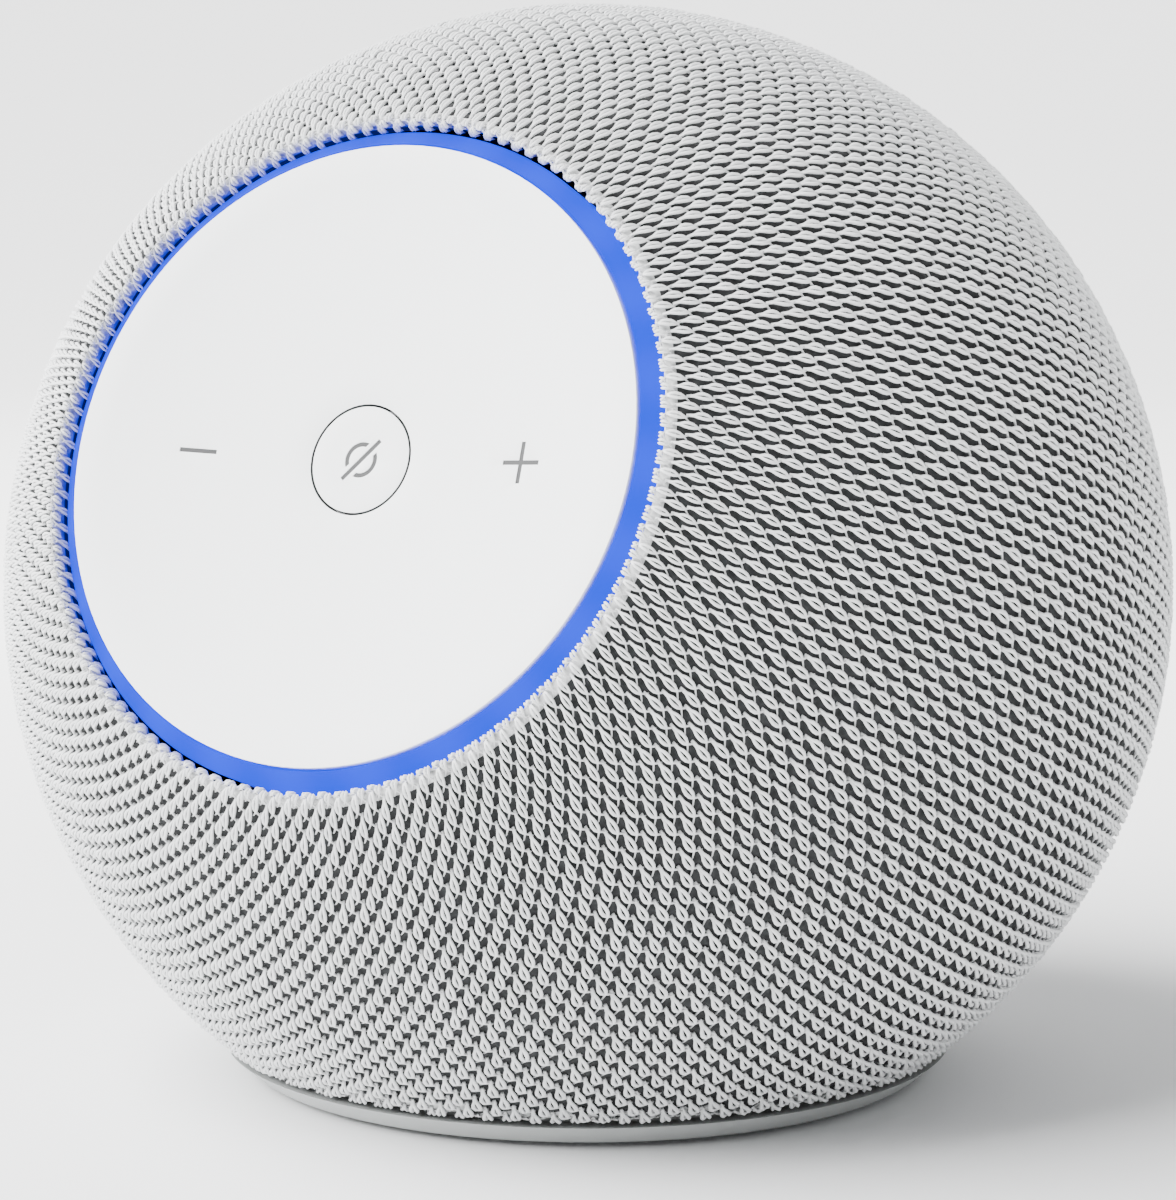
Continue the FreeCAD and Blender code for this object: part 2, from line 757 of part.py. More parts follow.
def tweeter_faceplate():
    return turned(
        (dome_r + 2.2, behind(0)),
        (tweeter_r, behind(0)),
        (tweeter_r, behind(2.0)),
        (dome_r + 0.8, behind(2.0)),
        (dome_r + 0.8, behind(1.5)),
        (dome_r + 2.2, behind(1.5)),
    )


def tweeter_dome():
    """Silk dome."""
    r = (dome_r ** 2 + dome_h ** 2) / (2 * dome_h)
    middle = behind(1.4) + dome_h - r
    cap = ball(r, middle).cut(ball(r - 0.25, middle))
    return cap.common(rod(dome_r + 1, behind(1.4), behind(-3)))


def tweeter_surround():
    """Small half roll round the dome."""
    middle = dome_r + 0.5
    torus = Part.makeTorus(middle, 0.5, FreeCAD.Vector(0, 0, behind(1.5)))
    hollow = Part.makeTorus(middle, 0.25, FreeCAD.Vector(0, 0, behind(1.5)))
    roll = torus.cut(hollow).common(rod(tweeter_r, behind(1.5), behind(-1)))
    return joined([roll, tube(middle + 0.4, dome_r + 2.1, behind(1.5), behind(1.25))])


def tweeter_coil():
    return tube(dome_r - 0.4, dome_r - 0.1, behind(6.0), behind(1.45))


def tweeter_pole():
    return rod(dome_r - 0.75, behind(4.0), behind(2.6))


def tweeter_magnet():
    return rod(dome_r - 1.2, behind(8.0), behind(4.0))


def tweeter_cup():
    """Steel cup round the magnet."""
    cup = rod(dome_r + 2.3, behind(9.5), behind(2.0))
    return cup.cut(rod(dome_r + 0.25, behind(8.0), behind(1.0)))


def tweeter_gasket():
    """Foam ring between the faceplate and its seat."""
    return tube(tweeter_r - 1.7, tweeter_r, behind(0), behind(-0.6))


def driver_gaskets():
    return Part.makeCompound([placed(woofer_gasket(), WOOFER), placed(tweeter_gasket(), TWEETER)])


# ---- Main board, power inlet and wiring ---------------------------------------------


def main_board():
    """Circuit board on the base plate's posts, with a tongue under the power jack."""
    half = post_x + 4.0
    board = block(-half, half, -0.4 * plate_r, 0.84 * plate_r, main_bottom, main_top)
    board = board.fuse(block(-10, 10, 0, jack_face - 2.9, main_bottom, main_top))
    board = board.common(ball(shell_in - 1.0)).removeSplitter()
    return board.cut([rod(1.1, main_bottom - 1, main_top + 1, x, y) for x, y in board_posts()])


def board_screws():
    """Four screws through the main board into its posts."""
    over = FreeCAD.Placement(FreeCAD.Vector(0, 0, main_top), FreeCAD.Rotation(X, 180))
    one = placed(screw(small_screw_r, 1.8, 1.1, 6.0), over)
    copies = []
    for x, y in board_posts():
        copies.append(one.translated(FreeCAD.Vector(x, y, 0)))
    return Part.makeCompound(copies)


def processor():
    return block(-6, 6, shield_front + 1.5, shield_back - 4.5, main_top, main_top + 1.2)


def shield_can():
    """Tinned lid over the processor."""
    can = block(-11, 11, shield_front, shield_back, main_top, main_top + shield_h)
    inside = block(-10.7, 10.7, shield_front + 0.3, shield_back - 0.3, main_top - 1, main_top + shield_h - 0.3)
    return can.cut(inside)


def heat_sink():
    """Aluminium block with fins that stands on the shield."""
    base = main_top + shield_h
    fins = [block(x - 0.6, x + 0.6, shield_front, shield_back, base + 1.4, base + 5.6) for x in range(-10, 11, 4)]
    return joined([block(-11, 11, shield_front, shield_back, base, base + 1.5)] + fins)


def capacitors():
    """Two storage capacitors beside the power jack."""
    cans = [rod(3.6, main_top, main_top + 9.0, x, 0.66 * plate_r) for x in (-12.5, 12.5)]
    return Part.makeCompound(cans)


def board_sockets():
    """Sockets for the ribbon, one on each board, and for the two speakers' wires."""
    under = board_top - board_t
    sockets = [
        placed(block(-5, 5, -6.4, -3.0, under - 1.4, under), FACE),
        block(-5, 5, -0.4 * plate_r + 0.5, ribbon_y + 1.2, main_top, main_top + 2.1),
    ]
    for x in (-socket_x, socket_x):
        sockets.append(block(x - 2.5, x + 2.5, socket_y - 3, socket_y + 3, main_top, main_top + socket_h))
    return Part.makeCompound(sockets)


def antennas():
    """Two aerial foils on the inside of the lower housing."""
    foil = ball(shell_in - 0.1).cut(ball(shell_in - 0.4))
    sides = [block(side * 45 - 20, side * 45 + 20, -7, 7, -16, -6) for side in (-1, 1)]
    return Part.makeCompound([foil.common(side) for side in sides])


def power_jack():
    """Barrel jack on the main board."""
    low = main_top - jack_z
    body = block(-4.8, 4.8, -4.4, -low, jack_face - 13.5, jack_face - fit_gap)
    return body.cut(rod(jack_bore_r, jack_face - 9.5, jack_face + 1))


def jack_pin():
    """Centre contact of the jack."""
    return rod(jack_pin_r, jack_face - 9.5, jack_face - 1.0)


def port_bezel():
    """Round collar that brings the power inlet out through the cover."""
    collar = rod(bezel_r, jack_face, 2 * ball_r)
    collar = collar.cut(rod(plug_r, recess_floor, 3 * ball_r))
    collar = collar.cut(rod(jack_bore_r + 0.4, 0, ball_r))
    return placed(collar, JACK).common(ball(ball_r))


def woofer_wires():
    """Twin lead from the main board up to the woofer's tags."""
    tag = WOOFER.multVec(FreeCAD.Vector(2.2, neck_r + 3.9, back(17.4)))
    plug = (socket_x, socket_y, main_top + socket_h)
    wires = []
    for side in (0, 1):
        wires.append(lead([
            (plug[0] - 2.4 * side, plug[1], plug[2]),
            (plug[0] - 2.4 * side, plug[1], plug[2] + 6),
            (plug[0] - 2.4 * side + 2, tag.y - 4, tag.z - 16),
            (tag.x - 4.4 * side + 4, tag.y + 1, tag.z - 7),
            (tag.x - 4.4 * side, tag.y, tag.z),
        ], 0.6))
    return Part.makeCompound(wires)


def tweeter_wires():
    """Twin lead from the main board to the back of the tweeter."""
    wires = []
    for side in (0, 1):
        end = TWEETER.multVec(FreeCAD.Vector(-6.5 + 2.2 * side, 1, behind(9.6)))
        away = TWEETER.multVec(FreeCAD.Vector(-6.5 + 2.2 * side, 1, behind(13)))
        x = -socket_x + 2.2 * side
        wires.append(lead([
            (x, socket_y, main_top + socket_h),
            (x, socket_y, main_top + socket_h + 4),
            (x, -0.3 * plate_r, main_top + 10.0),
            (away.x, away.y, away.z),
            (end.x, end.y, end.z),
        ], 0.6))
    return Part.makeCompound(wires)


# ---- Everything, in the order of assembly --------------------------------------------

both_halves = housing()

save("foot_pad", foot_pad())
save("base_plate", base_plate())
save("base_ring", base_ring())
save("base_screws", base_screws())
save("lower_housing", lower_housing(both_halves))
save("upper_housing", upper_housing(both_halves))
save("housing_seal", housing_seal())
save("housing_screws", housing_screws())
save("woofer_grille", grille(woofer_open + 1.1, woofer_open - 2.2), WOOFER)
save("tweeter_grille", grille(tweeter_open + 0.9, tweeter_open - 1.4), TWEETER)
save("fabric_cover", fabric_cover())

save("main_board", main_board())
save("board_screws", board_screws())
save("processor", processor())
save("shield_can", shield_can())
save("heat_sink", heat_sink())
save("capacitors", capacitors())
save("board_sockets", board_sockets())
save("antennas", antennas())
save("power_jack", power_jack(), JACK)
save("jack_pin", jack_pin(), JACK)
save("port_bezel", port_bezel())

save("woofer_basket", woofer_basket(), WOOFER)
save("woofer_surround", woofer_surround(), WOOFER)
save("woofer_cone", woofer_cone(), WOOFER)
save("woofer_dust_cap", woofer_dust_cap(), WOOFER)
save("woofer_voice_coil", woofer_voice_coil(), WOOFER)
save("woofer_spider", woofer_spider(), WOOFER)
save("woofer_top_plate", woofer_top_plate(), WOOFER)
save("woofer_magnet", woofer_magnet(), WOOFER)
save("woofer_yoke", woofer_yoke(), WOOFER)
save("woofer_screws", woofer_screws(), WOOFER)
save("woofer_terminals", woofer_terminals(), WOOFER)
save("woofer_wires", woofer_wires())

save("tweeter_faceplate", tweeter_faceplate(), TWEETER)
save("tweeter_dome", tweeter_dome(), TWEETER)
save("tweeter_surround", tweeter_surround(), TWEETER)
save("tweeter_coil", tweeter_coil(), TWEETER)
save("tweeter_pole", tweeter_pole(), TWEETER)
save("tweeter_magnet", tweeter_magnet(), TWEETER)
save("tweeter_cup", tweeter_cup(), TWEETER)
save("driver_gaskets", driver_gaskets())
save("tweeter_wires", tweeter_wires())

save("face_frame", face_frame(), FACE)
save("face_screws", face_screws(), FACE)
save("control_board", control_board(), FACE)
save("ribbon_cable", ribbon_cable())
save("leds", leds(), FACE)
save("microphones", microphones(), FACE)
save("minus_switch", switch_body(-key_u, 2.4), FACE)
save("plus_switch", switch_body(key_u, 2.4), FACE)
save("mute_switch", switch_body(0, 1.5), FACE)
save("minus_plunger", key_plunger(-key_u), FACE)
save("plus_plunger", key_plunger(key_u), FACE)
save("mute_plunger", mute_plunger(), FACE)
save("light_reflector", light_reflector(), FACE)
save("light_ring", light_ring(), FACE)
save("pivot_pins", pivot_pins(), FACE)
save("face_plate", face_plate(), FACE)
save("mute_button", mute_button(), FACE)
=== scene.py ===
import json
import math

import bpy
import numpy as np
from mathutils import Matrix, Vector

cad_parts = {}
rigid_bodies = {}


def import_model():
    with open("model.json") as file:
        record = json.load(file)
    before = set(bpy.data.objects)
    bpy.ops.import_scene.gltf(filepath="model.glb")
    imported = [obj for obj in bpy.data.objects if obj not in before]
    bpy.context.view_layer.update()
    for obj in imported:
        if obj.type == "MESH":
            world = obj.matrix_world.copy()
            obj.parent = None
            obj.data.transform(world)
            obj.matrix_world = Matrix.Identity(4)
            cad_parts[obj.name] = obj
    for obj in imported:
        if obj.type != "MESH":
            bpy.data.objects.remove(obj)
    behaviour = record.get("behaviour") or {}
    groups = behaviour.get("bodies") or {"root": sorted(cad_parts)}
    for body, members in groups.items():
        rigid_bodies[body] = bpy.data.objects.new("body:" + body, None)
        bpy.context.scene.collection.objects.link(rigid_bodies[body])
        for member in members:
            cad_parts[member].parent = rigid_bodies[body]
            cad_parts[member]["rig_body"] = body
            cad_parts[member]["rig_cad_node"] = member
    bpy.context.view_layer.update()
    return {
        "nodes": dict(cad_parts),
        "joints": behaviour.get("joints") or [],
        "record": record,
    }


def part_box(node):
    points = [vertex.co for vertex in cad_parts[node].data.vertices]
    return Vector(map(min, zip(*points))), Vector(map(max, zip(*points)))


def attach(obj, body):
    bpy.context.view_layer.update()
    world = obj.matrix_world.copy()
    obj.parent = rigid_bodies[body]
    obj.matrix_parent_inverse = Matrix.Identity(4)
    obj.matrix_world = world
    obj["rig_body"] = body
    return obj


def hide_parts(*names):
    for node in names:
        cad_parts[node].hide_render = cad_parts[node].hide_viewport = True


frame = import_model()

# ---- Studio --------------------------------------------------------------------------
# The speaker stands on a pale sweep of card that runs up behind it. One broad soft lamp
# hangs to the front left, a weak one to the right, and the card glows further out.

cover_low, cover_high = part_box("fabric_cover")
ball_r = (cover_high.x - cover_low.x) / 2
middle = Vector((0, 0, cover_high.z - ball_r))


def looking(turn, rise):
    """Direction from the speaker to something round it, turn and rise in degrees."""
    turn, rise = math.radians(turn), math.radians(rise)
    return Vector((math.sin(turn) * math.cos(rise), -math.cos(turn) * math.cos(rise), math.sin(rise)))


camera_turn = 28.05
camera_rise = 6.2
camera_distance = 0.2997
camera_way = looking(camera_turn, camera_rise)
camera = bpy.data.objects.new("camera", bpy.data.cameras.new("camera"))
bpy.context.scene.collection.objects.link(camera)
camera.data.lens = 95.33
camera.data.shift_y = -0.0097
camera.data.clip_start = 0.01
camera.location = middle + camera_distance * camera_way
camera.rotation_euler = camera_way.to_track_quat("Z", "Y").to_euler()
bpy.context.scene.camera = camera

room_colour = (0.97, 0.985, 1, 1)
room_strength = 0.45
room = bpy.data.worlds.new("room")
room.use_nodes = True
room.node_tree.nodes["Background"].inputs["Color"].default_value = room_colour
room.node_tree.nodes["Background"].inputs["Strength"].default_value = room_strength
bpy.context.scene.world = room


def lamp(name, turn, rise, distance, size, power):
    """Square soft lamp aimed at the speaker."""
    light = bpy.data.lights.new(name, "AREA")
    light.size = size
    light.energy = power
    holder = bpy.data.objects.new(name, light)
    way = looking(turn, rise)
    holder.location = middle + distance * way
    holder.rotation_euler = way.to_track_quat("Z", "Y").to_euler()
    bpy.context.scene.collection.objects.link(holder)


lamp("key_lamp", -50, 46, 1.3, 1.5, 105)
lamp("fill_lamp", 70, 20, 1.6, 1.2, 2)

sweep_size = 6
sweep_height = 3
sweep_bend = 1.6
bpy.ops.object.select_all(action="DESELECT")
bpy.ops.mesh.primitive_plane_add(size=sweep_size)
sweep = bpy.context.object
sweep.name = "sweep"
bpy.ops.object.mode_set(mode="EDIT")
bpy.ops.mesh.select_all(action="DESELECT")
bpy.ops.object.mode_set(mode="OBJECT")
for edge in sweep.data.edges:
    edge.select = all(sweep.data.vertices[i].co.y > sweep_size / 2 - 0.1 for i in edge.vertices)
bpy.ops.object.mode_set(mode="EDIT")
bpy.ops.mesh.select_mode(type="EDGE")
bpy.ops.mesh.extrude_region_move(TRANSFORM_OT_translate={"value": (0, 0, sweep_height)})
bpy.ops.object.mode_set(mode="OBJECT")
bend = sweep.modifiers.new("bend", "BEVEL")
bend.width = sweep_bend
bend.segments = 24
bpy.ops.object.modifier_apply(modifier="bend")
bpy.ops.object.shade_smooth()
sweep.rotation_euler.z = math.radians(camera_turn)
bpy.ops.object.transform_apply(location=True, rotation=True, scale=True)


class Shade:
    """A socket of a material's node tree; sums of sockets and numbers add the Math nodes."""

    def __init__(self, tree, socket=None):
        self.tree = tree
        self.socket = socket

    def node(self, kind, settings=None, sockets=None, out=0):
        """Add any node: its settings first, then the values or links of its sockets."""
        made = self.tree.nodes.new(kind)
        for name, value in (settings or {}).items():
            setattr(made, name, value)
        for key, value in (sockets or {}).items():
            if isinstance(value, Shade):
                self.tree.links.new(value.socket, made.inputs[key])
            else:
                made.inputs[key].default_value = value
        return Shade(self.tree, made.outputs[out])

    def math(self, operation, first, second=0.0):
        return self.node("ShaderNodeMath", {"operation": operation}, {0: first, 1: second})

    def __add__(self, other):
        return self.math("ADD", self, other)

    def __radd__(self, other):
        return self.math("ADD", other, self)

    def __sub__(self, other):
        return self.math("SUBTRACT", self, other)

    def __rsub__(self, other):
        return self.math("SUBTRACT", other, self)

    def __mul__(self, other):
        return self.math("MULTIPLY", self, other)

    def __rmul__(self, other):
        return self.math("MULTIPLY", other, self)

    def limit(self, low, high):
        """0 at low, 1 at high, held between."""
        sockets = {"Value": self, "From Min": low, "From Max": high}
        return self.node("ShaderNodeMapRange", {"clamp": True}, sockets)

    def mixed(self, first, second):
        """First colour where this is 0, second where it is 1."""
        return self.node("ShaderNodeMix", {"data_type": "RGBA"}, {0: self, 6: first, 7: second}, out=2)

    def raised(self, strength, depth):
        """Surface raised by this, where 1 stands a depth in metres above 0."""
        sockets = {"Strength": strength, "Distance": depth, "Height": self}
        return self.node("ShaderNodeBump", None, sockets)


def material(name, colour, roughness, pattern=None, **uniform):
    """New material; pattern(tree, place) returns what it varies over the surface."""
    made = bpy.data.materials.new(name)
    made.use_nodes = True
    made.diffuse_color = (*colour, 1)
    shader = made.node_tree.nodes["Principled BSDF"]
    shader.inputs["Base Color"].default_value = (*colour, 1)
    shader.inputs["Roughness"].default_value = roughness
    for key, value in uniform.items():
        shader.inputs[key.replace("_", " ")].default_value = value
    tree = Shade(made.node_tree)
    if pattern:
        place = tree.node("ShaderNodeTexCoord", out=3)
        for key, value in pattern(tree, place).items():
            made.node_tree.links.new(value.socket, shader.inputs[key])
    return made


card_colour = (0.9, 0.905, 0.91)
unlit_r = 0.06
fully_lit_r = 0.35
card_glow = 1.6


def lit(tree, place):
    """Light thrown on the card away from the speaker, none close round it."""
    reach = tree.node("ShaderNodeVectorMath", {"operation": "LENGTH"}, {"Vector": place}, out=1)
    return {"Emission Color": reach.limit(unlit_r, fully_lit_r).mixed((0, 0, 0, 1), (1, 1, 1, 1))}


card = material("card", card_colour, 0.9, lit, Emission_Strength=card_glow)
sweep.data.materials.append(card)

# ---- Foot and base -------------------------------------------------------------------
# A soft rubber disc carries the speaker. Above it a screwed plate closes the housing, and
# a light grey moulded ring, narrower at the floor, hangs on the plate's flange.


def scaled(colour, share):
    """Colour made lighter or darker by a share, with its fourth value."""
    return (*(min(1, c * share) for c in colour), 1)


def grained(colour, roughness, size, depth, patches=0.05):
    """Moulded or cast skin: fine grain of a size and depth in metres, and faint cloudy patches."""
    def pattern(tree, place):
        grain = tree.node("ShaderNodeTexNoise", None, {"Vector": place, "Scale": 1 / size, "Detail": 3.0})
        cloud = tree.node("ShaderNodeTexNoise", None, {"Vector": place, "Scale": 90.0, "Detail": 2.0})
        return {
            "Base Color": cloud.limit(0.3, 0.7).mixed(
                scaled(colour, 1 - patches), scaled(colour, 1 + patches)),
            "Roughness": roughness - 0.06 + 0.12 * grain,
            "Normal": grain.raised(0.5, depth),
        }
    return pattern


def dress(finish, *nodes):
    """Give CAD nodes a material."""
    for node in nodes:
        for place in frame["nodes"][node].material_slots:
            place.material = finish


foot_colour = (0.42, 0.43, 0.43)
dress(material("foot_rubber", foot_colour, 0.85, grained(foot_colour, 0.85, 0.0004, 0.00005)), "foot_pad")

base_colour = (0.42, 0.435, 0.43)
base_finish = material("base_plastic", base_colour, 0.45, grained(base_colour, 0.45, 0.0003, 0.00001, 0.02))
dress(base_finish, "base_plate", "base_ring", "port_bezel")


def brushed(colour, roughness, stretch, depth=0.000004):
    """Metal with fine lines drawn out along Z, or none where stretch is 1."""
    def pattern(tree, place):
        drawn = tree.node("ShaderNodeMapping", None, {"Vector": place, "Scale": (1, 1, 1 / stretch)})
        lines = tree.node("ShaderNodeTexNoise", None, {"Vector": drawn, "Scale": 2500.0, "Detail": 3.0})
        return {
            "Base Color": lines.mixed(scaled(colour, 0.85), scaled(colour, 1.12)),
            "Roughness": roughness - 0.08 + 0.16 * lines,
            "Normal": lines.raised(0.4, depth),
        }
    return pattern


screw_colour = (0.09, 0.09, 0.095)
dress(material("screw_steel", screw_colour, 0.4, brushed(screw_colour, 0.4, 1), Metallic=1.0),
      "base_screws", "housing_screws", "board_screws", "woofer_screws", "face_screws")

# ---- Housing -------------------------------------------------------------------------
# Two moulded halves of a ball, black inside the cover, with a foam strip between them.
# Perforated caps over the woofer and tweeter keep the cloth off the cones.

shell_colour = (0.035, 0.035, 0.038)
dress(material("housing_plastic", shell_colour, 0.55, grained(shell_colour, 0.55, 0.0005, 0.00004)),
      "lower_housing", "upper_housing", "woofer_grille", "tweeter_grille", "tweeter_faceplate")

foam_colour = (0.02, 0.02, 0.02)


def celled(colour, size, depth):
    """Foam or loose cloth, its cells a size in metres."""
    def pattern(tree, place):
        cells = tree.node("ShaderNodeTexVoronoi", None, {"Vector": place, "Scale": 1 / size})
        return {
            "Base Color": cells.mixed(scaled(colour, 0.5), scaled(colour, 1.6)),
            "Normal": cells.raised(0.8, depth),
        }
    return pattern


dress(material("foam", foam_colour, 0.95, celled(foam_colour, 0.0004, 0.0001)),
      "housing_seal", "driver_gaskets")

# ---- Boards --------------------------------------------------------------------------
# The main board stands on four posts of the base plate: processor, tinned shield with a
# finned block, storage cans, sockets and the power jack. Aerial foils line the housing.

wave_repeat = 0.314  # metres between the bands of a wave texture of scale 1
copper_t = 0.00003


def tracked(colour, pitch):
    """Solder mask over copper tracks that run both ways in blocks."""
    def pattern(tree, place):
        runs = []
        for way in ("X", "Y"):
            settings = {"wave_type": "BANDS", "bands_direction": way}
            sockets = {"Vector": place, "Scale": wave_repeat / pitch, "Distortion": 1.5, "Detail": 0.0}
            runs.append(tree.node("ShaderNodeTexWave", settings, sockets).limit(0.72, 0.8))
        blocks = tree.node("ShaderNodeTexVoronoi", {"feature": "F1", "distance": "CHEBYCHEV"},
                           {"Vector": place, "Scale": 120.0}, out=1)
        pick = tree.math("GREATER_THAN", tree.node("ShaderNodeSeparateColor", None, {"Color": blocks}), 0.5)
        copper = pick * runs[0] + (1 - pick) * runs[1]
        return {
            "Base Color": copper.mixed(scaled(colour, 0.8), scaled(colour, 2.2)),
            "Normal": copper.raised(0.6, copper_t),
        }
    return pattern


board_colour = (0.012, 0.07, 0.035)
dress(material("board", board_colour, 0.35, tracked(board_colour, 0.0006)), "main_board", "control_board")

chip_colour = (0.03, 0.03, 0.032)
dress(material("chip", chip_colour, 0.5, grained(chip_colour, 0.5, 0.0002, 0.00001)),
      "processor", "power_jack", "minus_switch", "plus_switch", "mute_switch")

tin_colour = (0.62, 0.62, 0.6)
dress(material("tin", tin_colour, 0.3, brushed(tin_colour, 0.3, 6), Metallic=1.0),
      "shield_can", "capacitors", "jack_pin", "microphones")

sink_colour = (0.42, 0.43, 0.44)
dress(material("heatsink_metal", sink_colour, 0.4, brushed(sink_colour, 0.4, 20), Metallic=1.0),
      "heat_sink")

socket_colour = (0.74, 0.72, 0.66)
dress(material("socket_plastic", socket_colour, 0.45, grained(socket_colour, 0.45, 0.0003, 0.00001)),
      "board_sockets", "woofer_terminals")

foil_colour = (0.72, 0.4, 0.2)
dress(material("foil", foil_colour, 0.25, brushed(foil_colour, 0.25, 3), Metallic=1.0), "antennas")

# ---- Woofer --------------------------------------------------------------------------
# Stamped steel basket with a powder coat, pressed paper cone in a rubber half roll, a
# dipped cloth spider, a copper coil, and the magnet between its top plate and yoke.

basket_colour = (0.03, 0.03, 0.033)
coated = grained(basket_colour, 0.5, 0.00025, 0.00003)
dress(material("basket_steel", basket_colour, 0.5, coated, Metallic=0.3), "woofer_basket")

paper_colour = (0.05, 0.05, 0.052)
fibre_swirl = 0.006


def fibred(colour, depth):
    """Pressed paper, its short fibres lying every way."""
    def pattern(tree, place):
        sockets = {"Vector": place, "Scale": 300.0, "Detail": 2.0}
        warp = tree.node("ShaderNodeTexNoise", None, sockets, out=1)
        shift = tree.node("ShaderNodeVectorMath", {"operation": "SCALE"}, {0: warp, "Scale": fibre_swirl})
        bent = tree.node("ShaderNodeVectorMath", {"operation": "ADD"}, {0: place, 1: shift})
        sockets = {"Vector": bent, "Scale": 700.0, "Distortion": 4.0, "Detail": 3.0}
        fibres = tree.node("ShaderNodeTexWave", None, sockets)
        return {
            "Base Color": fibres.mixed(scaled(colour, 0.7), scaled(colour, 1.8)),
            "Normal": fibres.raised(0.7, depth),
        }
    return pattern


dress(material("cone_paper", paper_colour, 0.8, fibred(paper_colour, 0.00005)),
      "woofer_cone", "woofer_dust_cap")

roll_colour = (0.02, 0.02, 0.021)
dress(material("surround_rubber", roll_colour, 0.6, grained(roll_colour, 0.6, 0.0006, 0.00002)),
      "woofer_surround")


def woven(colour, pitch, depth):
    """Plain cloth, threads over and under at a pitch in metres."""
    def pattern(tree, place):
        threads = []
        for way in ("X", "Y"):
            settings = {"wave_type": "BANDS", "bands_direction": way}
            sockets = {"Vector": place, "Scale": wave_repeat / pitch}
            threads.append(tree.node("ShaderNodeTexWave", settings, sockets))
        cloth = threads[0] * threads[1]
        return {
            "Base Color": cloth.mixed(scaled(colour, 0.6), scaled(colour, 1.25)),
            "Normal": cloth.raised(0.8, depth),
        }
    return pattern


spider_colour = (0.5, 0.32, 0.12)
dress(material("spider_cloth", spider_colour, 0.8, woven(spider_colour, 0.0006, 0.0001)), "woofer_spider")

copper_colour = (0.7, 0.3, 0.12)
dress(material("coil_wire", copper_colour, 0.3, brushed(copper_colour, 0.3, 0.05, 0.00002), Metallic=1.0),
      "woofer_voice_coil", "tweeter_coil")

steel_colour = (0.5, 0.51, 0.52)
dress(material("steel", steel_colour, 0.32, brushed(steel_colour, 0.32, 0.2), Metallic=1.0),
      "woofer_top_plate", "woofer_yoke", "tweeter_pole", "tweeter_cup", "pivot_pins")

ferrite_colour = (0.045, 0.045, 0.05)
dress(material("magnet_ferrite", ferrite_colour, 0.6, grained(ferrite_colour, 0.6, 0.0002, 0.00003)),
      "woofer_magnet")

# ---- Tweeter and wiring --------------------------------------------------------------
# A small silk dome fires down and forward below the face. Red twin leads run from the
# main board to both drivers, and a flat film cable runs to the control board.

silk_colour = (0.04, 0.04, 0.045)
dress(material("silk", silk_colour, 0.6, woven(silk_colour, 0.0003, 0.00003)),
      "tweeter_dome", "tweeter_surround")

nickel_colour = (0.66, 0.64, 0.6)
dress(material("magnet_nickel", nickel_colour, 0.18, brushed(nickel_colour, 0.18, 1), Metallic=1.0),
      "tweeter_magnet")

wire_colour = (0.5, 0.03, 0.03)
dress(material("wire_insulation", wire_colour, 0.5, grained(wire_colour, 0.5, 0.0005, 0.00001)),
      "woofer_wires", "tweeter_wires")

film_colour = (0.62, 0.34, 0.08)


def striped(colour, pitch):
    """Clear film over side by side conductors."""
    def pattern(tree, place):
        settings = {"wave_type": "BANDS", "bands_direction": "X"}
        sockets = {"Vector": place, "Scale": wave_repeat / pitch}
        lines = tree.node("ShaderNodeTexWave", settings, sockets).limit(0.4, 0.6)
        return {
            "Base Color": lines.mixed(scaled(colour, 0.6), scaled(colour, 1.3)),
            "Roughness": 0.3 + 0.15 * lines,
        }
    return pattern


dress(material("ribbon", film_colour, 0.35, striped(film_colour, 0.0005)), "ribbon_cable")

# ---- Behind the face -----------------------------------------------------------------
# A moulded disc screwed to the housing carries the control board with its lamps, three
# microphones, three push switches with plungers, and the white washer under the guide.

frame_colour = (0.06, 0.06, 0.063)
dress(material("frame_plastic", frame_colour, 0.55, grained(frame_colour, 0.55, 0.0005, 0.00003)),
      "face_frame")

white_colour = (0.86, 0.86, 0.85)
dress(material("white_plastic", white_colour, 0.5, grained(white_colour, 0.5, 0.0004, 0.00001, 0.02)),
      "light_reflector")

lamp_colour = (0.25, 0.45, 1.0)
dress(material("lamp", lamp_colour, 0.2, grained(lamp_colour, 0.2, 0.0006, 0.00001),
               Emission_Color=(*lamp_colour, 1), Emission_Strength=4.0), "leds")

# ---- Light guide ---------------------------------------------------------------------
# A clear moulded ring lies over the lamps, and its sloping band shows as a blue line
# between the plate and the cover. It is a little paler above each lamp.

face_out = -Vector(next(j["axis"] for j in frame["joints"] if j["name"] == "mute_press"))
face_up = face_out.cross(Vector((1, 0, 0)))
face = Matrix((Vector((1, 0, 0)), face_up, face_out)).transposed().to_4x4()
face.translation = middle

glow_low = (0.0, 0.024, 1.0)
glow_high = (0.002, 0.034, 1.12)
lamp_count = 24
guide_glow = 1.75


def glowing(tree, place):
    """Blue light, a little paler over each lamp."""
    centred = tree.node("ShaderNodeMapping", {"vector_type": "TEXTURE"}, {
        "Vector": place, "Location": tuple(middle), "Rotation": tuple(face.to_euler())})
    apart = tree.node("ShaderNodeSeparateXYZ", None, {"Vector": centred})
    across = Shade(tree.tree, apart.socket.node.outputs[1])
    turn = tree.math("ARCTAN2", across, apart)
    beat = tree.math("COSINE", turn * lamp_count)
    return {"Emission Color": beat.limit(-1, 1).mixed((*glow_low, 1), (*glow_high, 1))}


guide_colour = (0.002, 0.006, 0.03)
guide_finish = material("light_guide", guide_colour, 0.5, glowing, Emission_Strength=guide_glow,
                        Specular_IOR_Level=0.03)
dress(guide_finish, "light_ring")

# ---- Control plate -------------------------------------------------------------------
# One dished plate, satin white, rocks on two pins to press the volume switches. Its rim
# is rounded, and the plus and minus are grey inlays in shallow grooves.


